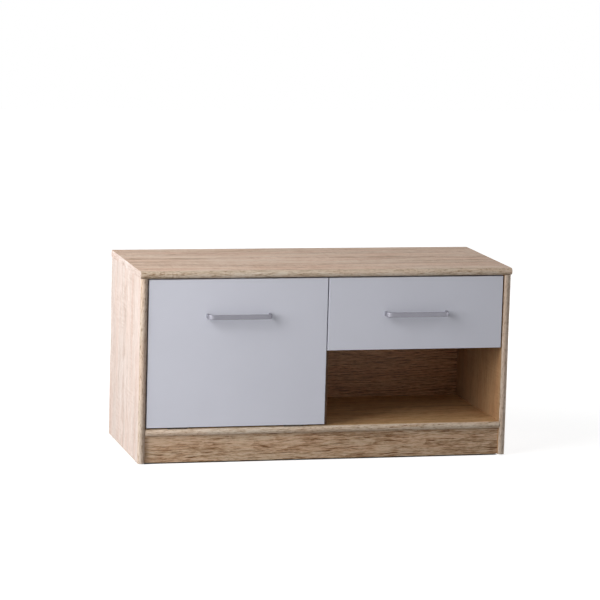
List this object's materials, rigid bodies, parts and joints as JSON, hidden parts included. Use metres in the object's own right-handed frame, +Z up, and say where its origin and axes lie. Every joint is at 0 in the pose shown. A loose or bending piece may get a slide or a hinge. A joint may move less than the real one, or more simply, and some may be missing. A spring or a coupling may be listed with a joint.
{
  "type": "entryway bench",
  "caption": "Low entryway bench in oak and white: a sitting-height top over a drop flap on a sliding stay, a drawer on roller runners and an open compartment.",
  "frame": {"origin": "on the floor, at the centre of the footprint with the handles included", "axes": "+X along the bench to the right as seen from the front, +Y towards the back, +Z up"},
  "size_m": [0.97, 0.412, 0.49],
  "materials": {
    "oak_laminate": "light oak decor laminate with a dull sheen",
    "oak_back": "thin fibreboard back printed with the oak decor",
    "white_front": "matt white laminate with white edging",
    "drawer_board": "plain white laminate board",
    "drawer_floor": "thin white fibreboard",
    "handle_metal": "satin silver",
    "runner_enamel": "white baked enamel on pressed steel",
    "hinge_steel": "bronzed steel",
    "zinc_steel": "bright zinc plate",
    "nylon": "natural nylon",
    "glide_plastic": "brown polythene",
    "catch_plastic": "white moulding",
    "beech": "bare fluted beech",
    "bumper_rubber": "clear soft dot"
  },
  "bodies": {
    "carcass": {"top_panel": "oak_laminate", "side_panel_left": "oak_laminate", "side_panel_right": "oak_laminate", "bottom_panel": "oak_laminate", "centre_divider": "oak_laminate", "plinth_front": "oak_laminate", "plinth_rear": "oak_laminate", "plinth_web": "oak_laminate", "back_panel": "oak_back", "floor_glides": "glide_plastic", "carcass_dowels": "beech", "cam_locks": "zinc_steel", "cam_bolts": "zinc_steel", "divider_screws": "zinc_steel", "back_panel_nails": "zinc_steel", "front_bumpers": "bumper_rubber", "magnetic_catch": "catch_plastic", "hinge_leaf_base_left": "hinge_steel", "hinge_leaf_base_right": "hinge_steel", "hinge_pins": "hinge_steel", "stay_guide_base": "zinc_steel", "cabinet_runner_left": "runner_enamel", "cabinet_runner_right": "runner_enamel", "cabinet_roller_rivets": "zinc_steel", "carcass_screws": "zinc_steel"},
    "flap": {"flap_panel": "white_front", "flap_handle": "handle_metal", "flap_handle_screws": "zinc_steel", "hinge_leaf_flap_left": "hinge_steel", "hinge_leaf_flap_right": "hinge_steel", "catch_plate": "zinc_steel", "stay_bracket": "zinc_steel", "stay_rivet": "zinc_steel", "flap_screws": "zinc_steel"},
    "stay_arm": {"stay_arm": "zinc_steel"},
    "stay_guide": {"stay_guide": "nylon"},
    "drawer": {"drawer_front": "white_front", "drawer_side_left": "drawer_board", "drawer_side_right": "drawer_board", "drawer_back": "drawer_board", "drawer_bottom": "drawer_floor", "drawer_handle": "handle_metal", "drawer_handle_screws": "zinc_steel", "drawer_runner_left": "runner_enamel", "drawer_runner_right": "runner_enamel", "drawer_roller_rivets": "zinc_steel", "drawer_cam_locks": "zinc_steel", "drawer_cam_bolts": "zinc_steel", "drawer_dowels": "beech", "drawer_back_screws": "zinc_steel", "drawer_runner_screws": "zinc_steel"},
    "cabinet_roller_left": {"cabinet_roller_left": "nylon"},
    "cabinet_roller_right": {"cabinet_roller_right": "nylon"},
    "drawer_roller_left": {"drawer_roller_left": "nylon"},
    "drawer_roller_right": {"drawer_roller_right": "nylon"}
  },
  "joints": [
    {"name": "flap_hinge", "type": "hinge", "parent": "carcass", "child": "flap", "pos_m": [-0.232, -0.1755, 0.0909], "axis": [1, 0, 0], "range_deg": [0, 90]},
    {"name": "stay_arm_pivot", "type": "hinge", "parent": "flap", "child": "stay_arm", "pos_m": [-0.0166, -0.15069, 0.21851], "axis": [1, 0, 0], "range_deg": [-45, 0]},
    {"name": "stay_guide_pivot", "type": "hinge", "parent": "carcass", "child": "stay_guide", "pos_m": [-0.0135, -0.08199, 0.18121], "axis": [1, 0, 0], "range_deg": [0, 45]},
    {"name": "drawer_slide", "type": "slide", "parent": "carcass", "child": "drawer", "axis": [0, -1, 0], "range_m": [0, 0.26]},
    {"name": "cabinet_roller_left_spin", "type": "hinge", "parent": "carcass", "child": "cabinet_roller_left", "pos_m": [0.0152, -0.146, 0.3121], "axis": [1, 0, 0], "continuous": true},
    {"name": "cabinet_roller_right_spin", "type": "hinge", "parent": "carcass", "child": "cabinet_roller_right", "pos_m": [0.4593, -0.146, 0.3121], "axis": [1, 0, 0], "continuous": true},
    {"name": "drawer_roller_left_spin", "type": "hinge", "parent": "drawer", "child": "drawer_roller_left", "pos_m": [0.0153, 0.173, 0.3121], "axis": [1, 0, 0], "continuous": true},
    {"name": "drawer_roller_right_spin", "type": "hinge", "parent": "drawer", "child": "drawer_roller_right", "pos_m": [0.4592, 0.173, 0.3121], "axis": [1, 0, 0], "continuous": true}
  ],
  "couplings": [
    {"joint": "stay_arm_pivot", "follows": "flap_hinge", "ratio": -0.5},
    {"joint": "stay_guide_pivot", "follows": "flap_hinge", "ratio": 0.5},
    {"joint": "cabinet_roller_left_spin", "follows": "drawer_slide", "rad_per_m": 90.909},
    {"joint": "cabinet_roller_right_spin", "follows": "drawer_slide", "rad_per_m": 90.909},
    {"joint": "drawer_roller_left_spin", "follows": "drawer_slide", "rad_per_m": 90.909},
    {"joint": "drawer_roller_right_spin", "follows": "drawer_slide", "rad_per_m": 90.909}
  ]
}
